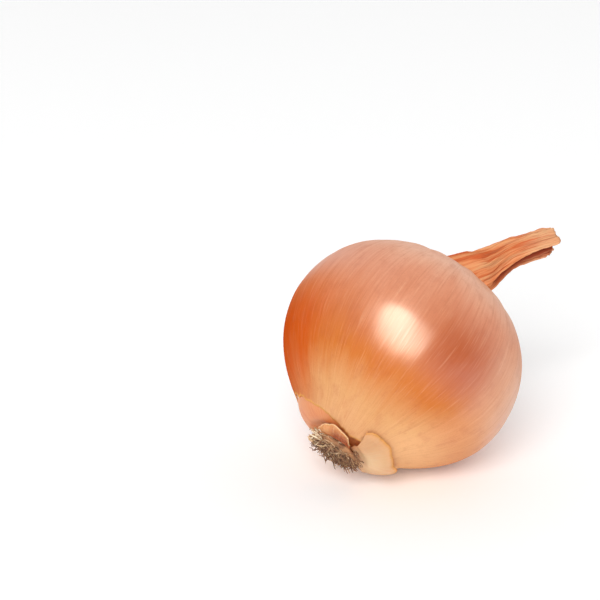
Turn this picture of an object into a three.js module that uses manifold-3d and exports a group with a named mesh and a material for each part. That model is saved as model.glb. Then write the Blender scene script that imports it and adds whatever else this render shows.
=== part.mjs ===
// A brown cooking onion lying on its side: the bulb with its dried neck, the root plate with its cropped
// roots, and the torn remains of older skins that are still held by the root plate.
// Millimetres, +Z up. The origin is the middle of the small flat that the bulb rests on, and +X is the way
// the neck points, seen from above.
//
// The onion is drawn standing upright on its own axis, root down, and is then laid over. In that upright
// frame z runs from the root to the neck, z = 0 is the widest place, and angles go round the axis, with
// 0 on the side that ends up underneath.
import * as THREE from "three";
import { mergeVertices } from "three/addons/utils/BufferGeometryUtils.js";
import Module from "manifold-3d";

const wasm = await Module();
wasm.setup();

// Driving dimensions.
const BULB = { radius: 37.6, baseDepth: 34, basePower: 1.82, topDepth: 31.3, topPower: 2.23 };
const BLUNT = { radius: 14, width: 4.5, fullness: 2.1 }; // how the root end is fuller than a plain curve
const BULGE = { angle: -50, width: 38, z: -16, height: 11, swell: 0.035 }; // one side is fuller, low down
const LEAN = 53.5; // degrees from upright to lying
const FLAT_DEPTH = 0.5; // how much the bulb is flattened where it rests
const SKIN = 0.6; // the dry outer skin, as its torn edge stands above the next one
const NEXT_SKIN_UP_TO = 30; // degrees from the widest place to where the next skin is left out
const NECK = {
  leavesAt: 12, // radius where the shoulder turns up into the neck
  flareZ: 38.5, // height where the flare becomes the neck proper
  radius: 4,
  flare: 3,
  flareFade: 10,
  bendsFrom: 27,
  // The line that the neck follows once it bends.
  line: [
    [0, 0, 27],
    [0.2, -0.2, 29.7],
    [2.5, -1.8, 33.8],
    [5.7, -2.8, 38.3],
    [8.7, -3.2, 44.1],
    [11.8, -4, 51],
    [16.6, -6.2, 59],
    [21.3, -8.8, 66.2],
  ],
  foot: [3.9, 0.1], // how the turn from shoulder to neck starts, in and up
  ankle: [0.4, 4.4], // and how it ends, out and down
  turnsFrom: 29, // its sections turn square to the line from here to flareZ
  flattens: [40, 54],
  flatAngle: 150, // the wide way of its flattened section
  thin: 0.74,
};
// The bulb is not quite round: waves round it, as shares of its radius, that fade out below the neck.
const UNEVEN = { oval: 0.003, skew: 0.004, fades: [22, 34] };
// Low ribs run from root to neck, and deepen where the skin gathers into the neck.
const RIBS = [
  { count: 14, height: 0.0012, start: 0.5 },
  { count: 23, height: 0.0009, start: 2 },
];
const GATHER = { growth: 12, rises: [20, 31], eases: [44, 56] };
// Lengthwise folds of the dried leaves in the neck, turning slowly round it.
const FOLDS = {
  rises: [33, 42],
  twist: 20,
  waves: [
    { count: 5, height: 0.06, start: 1.1 },
    { count: 8, height: 0.048, start: 0, climb: 0.12 },
    { count: 13, height: 0.036, start: 0 },
  ],
};
// One deep crease runs along the neck and swings to one side at its middle.
const CREASE = { angle: -76, width: 15, depth: 0.6, rises: [38, 46], swing: 14, swingZ: 52, swingHeight: 9 };
// The end of the neck is torn off hollow: how far down its rim goes, and what it goes through.
const TORN_END = {
  from: 6,
  mean: 0.9,
  waves: [
    { count: 2, height: 0.8, start: 0.6 },
    { count: 5, height: 0.3, start: 0 },
  ],
  hollow: [
    [2.2, 1.1],
    [0, 1.9],
  ],
};
const ROOTS = {
  stemRadius: 4.6, // the plate's stem, between the torn skins
  rimRadius: 7.6,
  top: -33.75,
  rimTop: -35.6,
  bottom: -37.6,
  strands: 72,
  strandRadius: 0.42,
  strandSides: 3,
  strandSteps: 4,
  reach: [2.4, 5.8], // how far a strand at the rim goes outwards
  swing: 0.45, // and to the side, in radians
  drop: [1.3, 3.2],
  dropAtRim: 0.9, // strands at the rim drop less by this
  spread: [0.06, 0.9], // from the middle to the rim, as shares of the plate's area
  inset: 0.6, // the strands start this far inside the rim
  startsAbove: 1, // and inside the lower face
  hang: 0.62, // how much of a half wave a strand's fall follows
  sag: 0.4,
  matRadius: 11.4, // the matted strands stay inside this,
  matTop: -36.1, // below this
  matBottom: -40.2, // and above this
  bareAngle: 200, // no strand grows outwards here, under the lip of skin
  bareReach: 52,
  seed: 11,
};
const CLEARANCE = 0.3; // between neighbouring pieces

// How many facets each form gets.
const ROUND = 72;
const BASE_STEPS = 17;
const SHOULDER_STEPS = 13;
const FILLET_STEPS = 5;
const NECK_STEPS = 17;
const PLATE_ROUND = 28;
const GROUND = 200; // a block that cuts the flat that the bulb rests on

// How each finish looks: its colour and roughness.
const FINISHES = {
  skin: { color: 0xdb8850, roughness: 0.38 },
  paleSkin: { color: 0xe9bd8b, roughness: 0.6 },
  tornSkin: { color: 0xd0905a, roughness: 0.6 },
  roots: { color: 0x8b7460, roughness: 0.95 },
};

const radians = (degrees) => (degrees * Math.PI) / 180;
const ramp = ([low, high], value) => THREE.MathUtils.smoothstep(value, low, high);
const bell = (value) => Math.exp(-value * value);

// The sum of some waves at an angle. A wave that climbs shifts round with height.
function waveSum(waves, angle, z = 0) {
  const heights = waves.map((w) => w.height * Math.cos(w.count * angle + w.start + (w.climb ?? 0) * z));
  return heights.reduce((sum, height) => sum + height, 0);
}

// A repeatable random number from 0 to 1.
function seeded(seed) {
  let state = seed >>> 0;
  return () => {
    state = (state * 1664525 + 1013904223) >>> 0;
    return state / 4294967296;
  };
}

// The signed gap between two angles, from -180 to 180 degrees.
function turnBetween(a, b) {
  return THREE.MathUtils.euclideanModulo(a - b + 180, 360) - 180;
}

// Reads a value off a ring of [angle, value] pairs, smoothly and with no seam.
function roundTheRing(pairs, degrees) {
  const at = THREE.MathUtils.euclideanModulo(degrees - pairs[0][0], 360) + pairs[0][0];
  const closed = [...pairs, [pairs[0][0] + 360, pairs[0][1]]];
  const next = closed.findIndex(([angle]) => angle > at);
  const [a0, v0] = closed[next - 1];
  const [a1, v1] = closed[next];
  return THREE.MathUtils.lerp(v0, v1, ramp([a0, a1], at));
}

// A mesh as a solid that can be joined and cut, and back.
function solidOf(geometry) {
  const bare = geometry.index ? geometry.toNonIndexed() : geometry.clone();
  bare.deleteAttribute("normal");
  bare.deleteAttribute("uv");
  const merged = mergeVertices(bare, 1e-4);
  return new wasm.Manifold(
    new wasm.Mesh({
      numProp: 3,
      vertProperties: merged.attributes.position.array,
      triVerts: new Uint32Array(merged.index.array),
    }),
  );
}

function geometryOf(solid) {
  const mesh = solid.getMesh();
  const geometry = new THREE.BufferGeometry();
  geometry.setAttribute("position", new THREE.BufferAttribute(mesh.vertProperties, 3));
  geometry.setIndex(new THREE.BufferAttribute(mesh.triVerts, 1));
  geometry.computeVertexNormals();
  return geometry;
}

// Spins an outline of [radius, z] points round the upright axis, then moves each point.
function spun(outline, segments, move) {
  const points = outline.map(([r, z]) => new THREE.Vector2(r, z));
  const geometry = new THREE.LatheGeometry(points, segments);
  geometry.rotateX(Math.PI / 2);
  return moved(geometry, move);
}

function moved(geometry, move) {
  const position = geometry.attributes.position;
  const point = new THREE.Vector3();
  for (let i = 0; i < position.count; i++) {
    point.fromBufferAttribute(position, i);
    move(point);
    position.setXYZ(i, point.x, point.y, point.z);
  }
  return geometry;
}

function bluntness(r) {
  return BLUNT.fullness * Math.exp(-(((r - BLUNT.radius) / BLUNT.width) ** 4));
}

// Half of the bulb's outline, from the widest place (0 degrees) towards a pole (90).
function halfOutline(depth, power, inset, degrees) {
  const s = radians(degrees);
  const r = (BULB.radius - inset) * Math.cos(s) ** (2 / power);
  const z = (Math.abs(depth) - inset) * Math.sin(s) ** (2 / power);
  return depth < 0 ? [r, -z - bluntness(r)] : [r, z];
}

// How far down the bulb's lower surface lies at a radius.
function baseSurface(r) {
  const share = Math.min(r / BULB.radius, 1) ** BULB.basePower;
  return -BULB.baseDepth * (1 - share) ** (1 / BULB.basePower) - bluntness(r);
}

function baseOutline(inset, upTo) {
  const outline = [[0, -(BULB.baseDepth - inset)]];
  for (let i = 1; i <= BASE_STEPS; i++) {
    const degrees = 90 - ((90 - upTo) * i) / BASE_STEPS;
    outline.push(halfOutline(-BULB.baseDepth, BULB.basePower, inset, degrees));
  }
  return outline;
}

// The neck's radius before it is flattened and wrinkled.
function neckRadius(z) {
  return NECK.radius + NECK.flare * Math.exp(-(z - NECK.flareZ) / NECK.flareFade);
}

const neckLine = new THREE.CatmullRomCurve3(
  NECK.line.map((p) => new THREE.Vector3(...p)),
  false,
  "centripetal",
);
const neckLength = neckLine.getLength();
const neckTip = NECK.bendsFrom + neckLength;

function wholeOutline() {
  const outline = baseOutline(0, 0);
  const cosine = (NECK.leavesAt / BULB.radius) ** (BULB.topPower / 2);
  const shoulder = THREE.MathUtils.radToDeg(Math.acos(cosine));
  for (let i = 1; i <= SHOULDER_STEPS; i++) {
    const degrees = (shoulder * i) / SHOULDER_STEPS;
    outline.push(halfOutline(BULB.topDepth, BULB.topPower, 0, degrees));
  }
  const [, shoulderZ] = outline.at(-1);
  const top = neckRadius(NECK.flareZ);
  const fillet = new THREE.CubicBezierCurve(
    new THREE.Vector2(NECK.leavesAt, shoulderZ),
    new THREE.Vector2(NECK.leavesAt - NECK.foot[0], shoulderZ + NECK.foot[1]),
    new THREE.Vector2(top + NECK.ankle[0], NECK.flareZ - NECK.ankle[1]),
    new THREE.Vector2(top, NECK.flareZ),
  );
  for (let i = 1; i <= FILLET_STEPS; i++) {
    const point = fillet.getPoint(i / FILLET_STEPS);
    outline.push([point.x, point.y]);
  }
  for (let i = 1; i <= NECK_STEPS; i++) {
    const z = NECK.flareZ + ((neckTip - NECK.flareZ) * i) / NECK_STEPS;
    outline.push([neckRadius(z), z]);
  }
  return outline.concat(TORN_END.hollow.map(([r, down]) => [r, neckTip - down]));
}

function unevenness(angle, z) {
  const fromBulge = angle - radians(BULGE.angle);
  const oval = UNEVEN.oval * Math.cos(2 * fromBulge + Math.PI);
  const skew = UNEVEN.skew * Math.sin(3 * fromBulge);
  const off = turnBetween(THREE.MathUtils.radToDeg(angle), BULGE.angle) / BULGE.width;
  const swell = BULGE.swell * bell(off) * bell((z - BULGE.z) / BULGE.height);
  const gathered = 1 + GATHER.growth * ramp(GATHER.rises, z) * (1 - ramp(GATHER.eases, z));
  return 1 + (oval + skew) * (1 - ramp(UNEVEN.fades, z)) + swell + waveSum(RIBS, angle) * gathered;
}

function neckFolds(angle, z) {
  const turned = angle + radians(FOLDS.twist) * ((z - NECK.flareZ) / neckLength);
  const creaseAngle = CREASE.angle + CREASE.swing * bell((z - CREASE.swingZ) / CREASE.swingHeight);
  const off = turnBetween(THREE.MathUtils.radToDeg(angle), creaseAngle) / CREASE.width;
  const crease = CREASE.depth * bell(off) * ramp(CREASE.rises, z);
  return 1 + ramp(FOLDS.rises, z) * waveSum(FOLDS.waves, turned, z) - crease;
}

// Flattens the neck, tears its end ragged and bends it along its line.
function bendNeck(point, angle) {
  if (point.z <= NECK.bendsFrom) return;
  const across = new THREE.Vector2(Math.cos(radians(NECK.flatAngle)), Math.sin(radians(NECK.flatAngle)));
  const wide = point.x * across.x + point.y * across.y;
  const thinned = THREE.MathUtils.lerp(1, NECK.thin, ramp(NECK.flattens, point.z));
  const thin = (point.y * across.x - point.x * across.y) * thinned;
  const x = wide * across.x - thin * across.y;
  const y = wide * across.y + thin * across.x;
  const out = Math.min(1, Math.hypot(point.x, point.y) / NECK.radius);
  const torn = TORN_END.mean + waveSum(TORN_END.waves, angle);
  const along = point.z - torn * out * ramp([neckTip - TORN_END.from, neckTip], point.z);
  const share = THREE.MathUtils.clamp((along - NECK.bendsFrom) / neckLength, 0, 1);
  const centre = neckLine.getPointAt(share);
  const alongLine = new THREE.Quaternion().setFromUnitVectors(
    new THREE.Vector3(0, 0, 1),
    neckLine.getTangentAt(share),
  );
  // The wide foot of the neck stays level, and the sections turn square to the line above it.
  const turn = new THREE.Quaternion().slerp(alongLine, ramp([NECK.turnsFrom, NECK.flareZ], point.z));
  point.set(x, y, 0).applyQuaternion(turn).add(centre);
}

function shapeBulb(point) {
  const angle = Math.atan2(point.y, point.x);
  const grow = unevenness(angle, point.z) * neckFolds(angle, point.z);
  point.x *= grow;
  point.y *= grow;
  bendNeck(point, angle);
}

// The outer skin is torn away round the root: [angle, distance from the axis] of its edge.
const TEAR = [
  [-161, 14],
  [-150, 13.5],
  [-136, 12.9],
  [-122, 13],
  [-104, 12],
  [-50, 11.5],
  [-10, 12.5],
  [25, 15.5],
  [60, 15],
  [95, 17.5],
  [141, 18.3],
  [159, 17.1],
  [175, 16.2],
  [188, 15.2],
];
const TEAR_CUT = { points: 60, raggedness: 0.6, seed: 5, depth: 24, upTo: -24 };

function tornOpening() {
  const ragged = seeded(TEAR_CUT.seed);
  const shape = new THREE.Shape();
  for (let i = 0; i < TEAR_CUT.points; i++) {
    const degrees = (360 * i) / TEAR_CUT.points;
    const r = roundTheRing(TEAR, degrees) + TEAR_CUT.raggedness * (ragged() - 0.5);
    const x = r * Math.cos(radians(degrees));
    const y = r * Math.sin(radians(degrees));
    if (i) shape.lineTo(x, y);
    else shape.moveTo(x, y);
  }
  shape.closePath();
  const geometry = new THREE.ExtrudeGeometry(shape, { depth: TEAR_CUT.depth, bevelEnabled: false });
  return solidOf(geometry.translate(0, 0, TEAR_CUT.upTo - TEAR_CUT.depth));
}

// The frame that lays the onion over and sets its flat on the origin.
function restingFrame() {
  const down = { axial: Math.cos(radians(LEAN)), radial: Math.sin(radians(LEAN)) };
  const power = BULB.basePower / (BULB.basePower - 1);
  const radialTerm = BULB.radius * down.radial;
  const axialTerm = BULB.baseDepth * down.axial;
  const height = (radialTerm ** power + axialTerm ** power) ** (1 / power);
  const r = BULB.radius * (radialTerm / height) ** (power - 1);
  const z = -BULB.baseDepth * (axialTerm / height) ** (power - 1);
  const frame = new THREE.Group();
  frame.rotation.y = radians(LEAN);
  frame.position.set(-(r * down.axial + z * down.radial), 0, height - FLAT_DEPTH);
  frame.updateMatrix();
  return frame;
}

function makeBulb(frame) {
  const outer = solidOf(spun(wholeOutline(), ROUND, shapeBulb)).subtract(tornOpening());
  const under = baseOutline(SKIN, NEXT_SKIN_UP_TO);
  under.push([0, under.at(-1)[1]]);
  const next = solidOf(spun(under, ROUND, shapeBulb));
  const ground = new THREE.BoxGeometry(GROUND, GROUND, GROUND).translate(0, 0, -GROUND / 2);
  ground.applyMatrix4(frame.matrix.clone().invert());
  return geometryOf(outer.add(next).subtract(solidOf(ground)));
}

// The plate, with cropped roots that curl and lie matted on it.
const PLATE_LUMPS = [
  { count: 5, height: 0.035, start: 0 },
  { count: 9, height: 0.03, start: 0 },
];
const PLATE_EDGE = { round: 0.9, dish: 0.4, top: 0.5, slope: 0.2, lumpsFrom: 0.3 };

function makeRoots() {
  const middle = (ROOTS.rimTop + ROOTS.bottom) / 2;
  const plate = [
    [0, ROOTS.bottom + PLATE_EDGE.dish],
    [ROOTS.stemRadius, ROOTS.bottom],
    [ROOTS.rimRadius - PLATE_EDGE.round, ROOTS.bottom + PLATE_EDGE.dish],
    [ROOTS.rimRadius, middle],
    [ROOTS.rimRadius - PLATE_EDGE.top, ROOTS.rimTop],
    [ROOTS.stemRadius, ROOTS.rimTop + PLATE_EDGE.slope],
    [ROOTS.stemRadius, ROOTS.top],
    [0, ROOTS.top],
  ];
  const lumpy = (p) => {
    const stem = ramp([ROOTS.rimTop - PLATE_EDGE.lumpsFrom, ROOTS.rimTop + PLATE_EDGE.lumpsFrom], p.z);
    const grow = 1 + (1 - stem) * waveSum(PLATE_LUMPS, Math.atan2(p.y, p.x));
    p.x *= grow;
    p.y *= grow;
  };
  let solid = solidOf(spun(plate, PLATE_ROUND, lumpy));
  const random = seeded(ROOTS.seed);
  for (let i = 0; i < ROOTS.strands; i++) solid = solid.add(solidOf(strand(i, random)));
  // Strands that cross can close off a small hollow, so only the outer surface of the whole is kept.
  const [whole] = solid.decompose().sort((a, b) => b.volume() - a.volume());
  return geometryOf(whole);
}

const isBare = (angle) =>
  Math.abs(turnBetween(THREE.MathUtils.radToDeg(angle), ROOTS.bareAngle)) < ROOTS.bareReach;

// One root: it leaves the plate outwards or downwards and curls to one side. The roots are spread over the
// plate like the seeds of a flower head.
function strand(index, random) {
  const goldenAngle = Math.PI * (3 - Math.sqrt(5));
  const start = index * goldenAngle;
  const outwards = Math.sqrt(THREE.MathUtils.lerp(...ROOTS.spread, (index + 0.5) / ROOTS.strands));
  const from = outwards * (ROOTS.rimRadius - ROOTS.inset);
  const reach = THREE.MathUtils.lerp(...ROOTS.reach, random()) * outwards;
  const swing = THREE.MathUtils.lerp(-ROOTS.swing, ROOTS.swing, random());
  const drop = THREE.MathUtils.lerp(...ROOTS.drop, random()) - ROOTS.dropAtRim * outwards;
  const points = [];
  for (let i = 0; i <= ROOTS.strandSteps; i++) {
    const share = i / ROOTS.strandSteps;
    const angle = start + swing * share * share;
    const bare = isBare(start) || isBare(angle);
    const r = Math.min(from + reach * share, bare ? ROOTS.rimRadius : ROOTS.matRadius);
    const fall = drop * Math.sin(ROOTS.hang * Math.PI * share) + ROOTS.sag * share * random();
    const highest = bare && i > 0 ? ROOTS.bottom : ROOTS.matTop - ROOTS.strandRadius;
    const z = THREE.MathUtils.clamp(ROOTS.bottom + ROOTS.startsAbove - fall, ROOTS.matBottom, highest);
    points.push(new THREE.Vector3(r * Math.cos(angle), r * Math.sin(angle), z));
  }
  const section = new THREE.Shape();
  for (let i = 0; i < ROOTS.strandSides; i++) {
    const a = (2 * Math.PI * i) / ROOTS.strandSides;
    const x = ROOTS.strandRadius * Math.cos(a);
    const y = ROOTS.strandRadius * Math.sin(a);
    if (i) section.lineTo(x, y);
    else section.moveTo(x, y);
  }
  section.closePath();
  const extrudePath = new THREE.CatmullRomCurve3(points);
  return new THREE.ExtrudeGeometry(section, { steps: ROOTS.strandSteps, extrudePath, bevelEnabled: false });
}

const SHEET = { thickness: 0.7, wave: 0.15, waveAlong: 9, waveAcross: 17, step: 0.05 };

// A torn piece of an older skin, which starts at the root plate and lies over the bulb.
// root: [first angle, last angle, distance from the axis, height above the bulb].
// edge: [angle, distance from the axis, height above the bulb] along its free edge.
// hollow: how long the piece stays close to the bulb before it rises to the height of its edge.
function makeTornSkin({ edge, root, hollow, across, along, raggedness, seed }) {
  const ragged = seeded(seed);
  const jitter = Array.from({ length: across + 1 }, () => raggedness * (ragged() - 0.5));
  const [rootFrom, rootTo, rootRadius, rootLift] = root;
  const sheet = new THREE.BoxGeometry(1, 1, 1, across, along, 1);
  return moved(sheet, (p) => {
    const u = p.x + 0.5;
    const v = p.y + 0.5;
    const place = u * (edge.length - 1);
    const k = Math.min(Math.floor(place), edge.length - 2);
    const [angle, radius, lift] = edge[k].map((low, n) =>
      THREE.MathUtils.lerp(low, edge[k + 1][n], place - k),
    );
    const inner = THREE.MathUtils.lerp(rootFrom, rootTo, u);
    const turn = radians(THREE.MathUtils.lerp(inner, angle, v));
    const r = THREE.MathUtils.lerp(rootRadius, radius + jitter[Math.round(u * across)], v);
    const wave = SHEET.wave * Math.sin(SHEET.waveAlong * v + SHEET.waveAcross * u) * v;
    const above = THREE.MathUtils.lerp(rootLift, lift, v ** hollow) + wave;
    const slope = (baseSurface(r + SHEET.step) - baseSurface(r - SHEET.step)) / (2 * SHEET.step);
    const tilt = Math.hypot(1, slope);
    const stand = CLEARANCE + above + SHEET.thickness * (0.5 + p.z);
    const out = (r + (slope / tilt) * stand) * unevenness(turn, baseSurface(r));
    p.set(out * Math.cos(turn), out * Math.sin(turn), baseSurface(r) - stand / tilt);
  });
}

const TORN_SKINS = {
  // The large pale remnant below the root, whose free edge flares out.
  skin_flap: {
    edge: [
      [-126, 15.6, 0.1],
      [-120, 17.6, 0.2],
      [-107, 17.8, 0.3],
      [-94, 17.9, 0.5],
      [-78, 16.8, 0.7],
      [-60, 16.9, 1],
      [-40, 18.2, 1.3],
      [-26, 15.9, 1.2],
      [-10, 14.2, 0.9],
    ],
    root: [-108, -14, 5.4, 0.25],
    hollow: 2,
    across: 24,
    along: 8,
    raggedness: 0.8,
    seed: 21,
    finish: FINISHES.paleSkin,
  },
  // The short curled lip above the root. It stands off the bulb, over the rim of the plate.
  skin_lip: {
    edge: [
      [163, 10.2, 1],
      [181, 12, 1.1],
      [191, 13.1, 1.1],
      [203, 13.8, 1],
      [217, 13, 0.9],
      [227, 11.9, 0.9],
      [238, 9.6, 1.4],
    ],
    root: [158, 242, 8.6, 2],
    hollow: 1,
    across: 18,
    along: 6,
    raggedness: 0.7,
    seed: 8,
    finish: FINISHES.tornSkin,
  },
  // A ragged remnant on the far side.
  skin_scrap: {
    edge: [
      [0, 11, 0.3],
      [20, 14.4, 0.8],
      [42, 12.4, 0.6],
      [66, 14.8, 1],
      [88, 12, 0.5],
      [106, 9.4, 0.3],
    ],
    root: [-4, 112, 5.4, 0.25],
    hollow: 2,
    across: 20,
    along: 7,
    raggedness: 1.2,
    seed: 34,
    finish: FINISHES.paleSkin,
  },
};

function node(name, geometry, finish) {
  const mesh = new THREE.Mesh(geometry, new THREE.MeshStandardMaterial({ ...finish, metalness: 0 }));
  mesh.name = name;
  return mesh;
}

const lying = restingFrame();
lying.add(node("bulb", makeBulb(lying), FINISHES.skin));
lying.add(node("roots", makeRoots(), FINISHES.roots));
for (const [name, { finish, ...form }] of Object.entries(TORN_SKINS)) {
  lying.add(node(name, makeTornSkin(form), finish));
}

const onion = new THREE.Group();
onion.add(lying);

export default onion;
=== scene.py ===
import math
import random

import bmesh
import bpy
from mathutils import Matrix, Quaternion, Vector, noise


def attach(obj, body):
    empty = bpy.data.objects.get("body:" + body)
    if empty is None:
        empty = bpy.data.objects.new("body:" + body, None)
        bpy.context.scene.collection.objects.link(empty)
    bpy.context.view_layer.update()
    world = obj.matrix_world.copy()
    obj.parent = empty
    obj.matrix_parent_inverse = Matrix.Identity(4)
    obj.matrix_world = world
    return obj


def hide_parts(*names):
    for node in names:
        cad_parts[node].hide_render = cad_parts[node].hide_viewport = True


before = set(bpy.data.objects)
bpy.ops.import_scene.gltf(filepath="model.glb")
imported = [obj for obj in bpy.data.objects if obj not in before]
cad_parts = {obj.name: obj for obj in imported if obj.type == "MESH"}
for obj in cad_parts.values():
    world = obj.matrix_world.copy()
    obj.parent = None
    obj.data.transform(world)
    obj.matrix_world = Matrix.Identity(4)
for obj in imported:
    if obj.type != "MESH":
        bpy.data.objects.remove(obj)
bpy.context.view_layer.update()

bl_info = {
    "name": "Cooking Onion",
    "version": (1, 0, 0),
    "blender": (4, 5, 0),
    "location": "View3D > Sidebar > Onion",
    "description": "A brown onion on its side: papery skin, dried neck, torn skins and cropped roots",
    "category": "Object",
}

# The onion is worked out standing upright, root down, in metres. There z runs from the root to the neck,
# z = 0 is the widest place, and angles go round the axis with 0 on the side that ends up underneath.
# It is then laid over, into the frame of the CAD model.
MM = 0.001


def colour_of(red, green, blue):
    """A colour given as a screen shows it, 0 to 255, as the linear one that shaders use."""
    shares = (red / 255, green / 255, blue / 255)
    return tuple(((share + 0.055) / 1.055) ** 2.4 if share > 0.04 else share / 12.92 for share in shares)


def length(name, description, millimetres):
    return bpy.props.FloatProperty(
        name=name, description=description, default=millimetres * MM, unit="LENGTH", precision=5
    )


def angle(name, description, degrees):
    return bpy.props.FloatProperty(
        name=name, description=description, default=math.radians(degrees), subtype="ANGLE"
    )


def number(name, description, value):
    return bpy.props.FloatProperty(name=name, description=description, default=value, subtype="FACTOR")


def count(name, description, value):
    return bpy.props.IntProperty(name=name, description=description, default=value, min=1)


def colour(name, description, red, green, blue):
    return bpy.props.FloatVectorProperty(
        name=name,
        description=description,
        default=colour_of(red, green, blue),
        size=3,
        subtype="COLOR",
        min=0,
        max=1,
    )


class OnionShape(bpy.types.PropertyGroup):
    """Sizes of the bulb, its neck and its skins."""

    radius: length("Radius", "Radius of the bulb at its widest place", 37.6)
    base_depth: length("Base depth", "From the widest place down to the root", 34)
    base_power: number("Base power", "How square the lower half's outline is", 1.82)
    top_depth: length("Top depth", "From the widest place up to where the neck starts", 31.3)
    top_power: number("Top power", "How square the upper half's outline is", 2.23)
    lean: angle("Lean", "From upright to lying", 53.5)
    flat_depth: length("Flat depth", "How much the bulb is flattened where it rests", 0.5)
    skin: length("Skin thickness", "Thickness of the dry outer skin", 0.2)
    under_skin: length("Under skin", "How deep the next scale lies below the outer skin's surface", 0.3)
    clearance: length("Clearance", "Gap between neighbouring pieces", 0.3)
    neck_radius: length("Neck radius", "Radius of the dried neck", 4)
    around: count("Around", "Facets round the outer skin", 252)
    along: count("Along", "Facets along the outer skin", 150)


class OnionRoots(bpy.types.PropertyGroup):
    """Sizes of the root plate and its cropped roots."""

    stem_radius: length("Stem radius", "Radius of the plate's stem", 4.6)
    rim_radius: length("Rim radius", "Radius of the plate's rim", 7.6)
    top: length("Top", "Height of the plate's top", -33.75)
    rim_top: length("Rim top", "Height of the rim's upper edge", -35.6)
    bottom: length("Bottom", "Height of the plate's lower face", -37.4)
    strands: count("Strands", "How many fine roots there are", 1000)
    strand_radius: length("Strand radius", "Radius of a root where it leaves the plate", 0.24)
    mat_radius: length("Mat radius", "The roots stay inside this distance from the axis", 10.6)
    mat_top: length("Mat top", "The roots stay below this height", -35.9)
    mat_bottom: length("Mat bottom", "The roots stay above this height", -39.6)
    seed: count("Seed", "Start of the random draws", 7)


class OnionColours(bpy.types.PropertyGroup):
    """Colours of the skins and roots."""

    root_end: colour("Root end", "Outer skin next to the root", 213, 157, 108)
    low: colour("Low", "Outer skin between the root and the orange band", 214, 156, 102)
    band: colour("Band", "The orange band below the widest place", 199, 112, 48)
    deep: colour("Deep", "The orange just above the band", 199, 108, 54)
    middle: colour("Middle", "Outer skin at the widest place", 210, 127, 86)
    high: colour("High", "Outer skin above the widest place", 218, 143, 108)
    shoulder: colour("Shoulder", "Outer skin at the foot of the neck", 234, 178, 148)
    streak_light: colour("Light streaks", "Wide pale streaks along the outer skin", 242, 190, 144)
    streak_dark: colour("Dark streaks", "Dark streaks along the outer skin", 168, 82, 42)
    mottle: colour("Mottle", "Reddish blotches of the outer skin", 182, 92, 56)
    hair: colour("Pale hairs", "Fine pale lines along the outer skin", 248, 204, 162)
    speck: colour("Specks", "Small specks of the outer skin", 166, 88, 54)
    torn_edge: colour("Torn edge", "The torn edge of the outer skin", 236, 172, 96)
    # The deep orange flank is partly the skin's own colour and partly painted orange bounce light
    red_side_and_bounce_light: colour("Red side", "The deep orange flank", 198, 70, 4)
    dark_side: colour("Dark side", "The darker patch between the flanks", 178, 76, 14)
    # The paler side is painted rim light
    pale_side_painted_light: colour("Pale side", "The paler side", 226, 162, 116)
    # The palest place is painted light from the floor
    pale_low_painted_light: colour("Pale low", "The palest place, by the root over the floor", 240, 190, 136)
    neck: colour("Neck", "The dried neck", 232, 148, 98)
    neck_light: colour("Light neck", "The lightest leaves of the neck", 238, 176, 126)
    neck_red: colour("Red neck", "The reddest leaves of the neck", 208, 98, 54)
    # Deep in the neck's folds, the crease and the strap under it: painted shade
    neck_fold_shade: colour("Neck folds", "Deep in the neck's folds", 152, 70, 48)
    neck_tip: colour("Neck tip", "The torn end of the neck", 232, 182, 138)
    neck_thread: colour("Neck threads", "Pale threads along the neck", 240, 186, 130)
    under: colour("Under skin", "The scale below the outer skin", 216, 138, 84)
    under_patch: colour("Under patches", "Darker patches of the scale below", 204, 112, 58)
    under_vein: colour("Under veins", "Pale veins of the scale below", 230, 172, 128)
    pale: colour("Pale skin", "The cream torn skin", 210, 156, 112)
    pale_at_root: colour("Pale skin at root", "The cream skin where it leaves the plate", 222, 158, 112)
    pale_vein: colour("Pale skin veins", "Veins and the low side of the cream skin", 236, 196, 150)
    # The ochre rim is partly the dry edge's own colour and partly painted shade of the thin shadow line
    # along it
    ochre_and_shadow_line: colour("Ochre rim", "The rim of the cream skin", 204, 138, 62)
    tan: colour("Tan skin", "The curled lip of skin", 222, 152, 96)
    # The lip's inner half towards the plate is painted shade; the same colour also darkens its veins
    tan_shaded_at_root: colour("Tan skin at root", "The lip where it leaves the plate", 186, 118, 74)
    tan_vein: colour("Tan skin veins", "Veins of the lip", 224, 178, 136)
    # Painted shade in the hollow low side of the lip
    lip_hollow_shade: colour("Rust", "The hollow low side of the lip", 140, 58, 16)
    straw: colour("Straw rim", "The rim of the lip", 246, 204, 152)
    root_dark: colour("Dark roots", "The darkest roots", 98, 68, 54)
    root_brown: colour("Brown roots", "Most of the roots", 156, 112, 84)
    root_straw: colour("Straw roots", "The straw-coloured roots", 196, 158, 116)
    root_pale: colour("Pale roots", "The palest roots", 246, 230, 200)
    plate: colour("Plate", "The root plate", 184, 132, 90)
    plate_dark: colour("Dark plate", "Dark patches of the root plate", 132, 88, 58)
    plate_light: colour("Light plate", "Light cork of the root plate", 214, 168, 122)


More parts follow.
